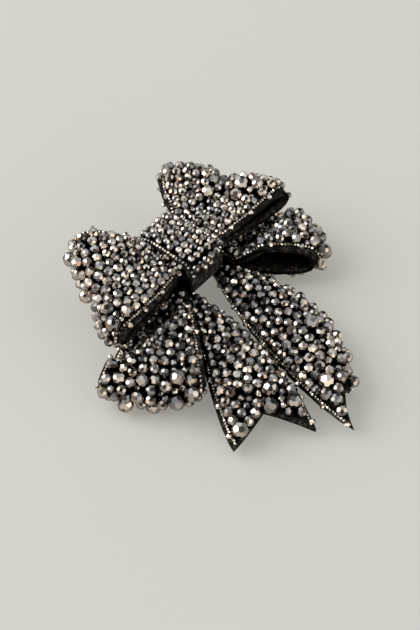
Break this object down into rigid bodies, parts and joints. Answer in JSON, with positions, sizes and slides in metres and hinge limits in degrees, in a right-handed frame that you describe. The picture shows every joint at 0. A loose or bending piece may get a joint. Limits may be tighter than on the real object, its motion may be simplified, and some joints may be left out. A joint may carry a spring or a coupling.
{
  "type": "brooch",
  "caption": "Soft bow brooch: folded felt loops and swallow tails covered in faceted beads, gathered by a beaded knot, with a hinged bar pin and a turning safety catch on its back.",
  "frame": {"origin": "middle of the brooch outline, on the surface it lies on", "axes": "+X across the bow to the right-hand loops, +Y from the tails towards the top of the upper loops, +Z out of the beaded front"},
  "size_m": [0.1186, 0.1276, 0.0353],
  "materials": {
    "felt": "matt black wool felt",
    "beads": "faceted round glass beads with a grey metallic coating",
    "seed_beads": "tiny silver-lined seed beads, pale champagne",
    "thread": "black sewing thread",
    "nickel": "nickel-plated stamped steel",
    "pin_steel": "hardened steel wire, ground to a point"
  },
  "bodies": {
    "bow": {"upper_left_facing": "felt", "upper_left_lining": "felt", "upper_left_beads": "beads", "upper_left_edging": "seed_beads", "upper_right_facing": "felt", "upper_right_lining": "felt", "upper_right_beads": "beads", "upper_right_edging": "seed_beads", "lower_left_facing": "felt", "lower_left_lining": "felt", "lower_left_beads": "beads", "lower_left_edging": "seed_beads", "lower_right_facing": "felt", "lower_right_lining": "felt", "lower_right_beads": "beads", "lower_right_edging": "seed_beads", "left_tail_facing": "felt", "left_tail_backing": "felt", "left_tail_beads": "beads", "left_tail_edging": "seed_beads", "right_tail_facing": "felt", "right_tail_backing": "felt", "right_tail_beads": "beads", "right_tail_edging": "seed_beads", "knot_facing": "felt", "knot_lining": "felt", "knot_beads": "beads", "knot_edging": "seed_beads", "centre_binding": "thread", "back_patch": "felt", "pin_bar": "nickel", "pin_stitches": "thread", "hinge_rivet": "nickel"},
    "pin": {"pin_stem": "pin_steel"},
    "catch": {"catch_rotor": "nickel"}
  },
  "joints": [
    {"name": "pin_hinge", "type": "hinge", "parent": "bow", "child": "pin", "pos_m": [-0.0066, 0.03438, 0.00242], "axis": [0, 1, 0], "range_deg": [0, 100]},
    {"name": "catch_turn", "type": "hinge", "parent": "bow", "child": "catch", "pos_m": [0.016, 0.03438, 0.00242], "axis": [1, 0, 0], "range_deg": [0, 150]}
  ]
}
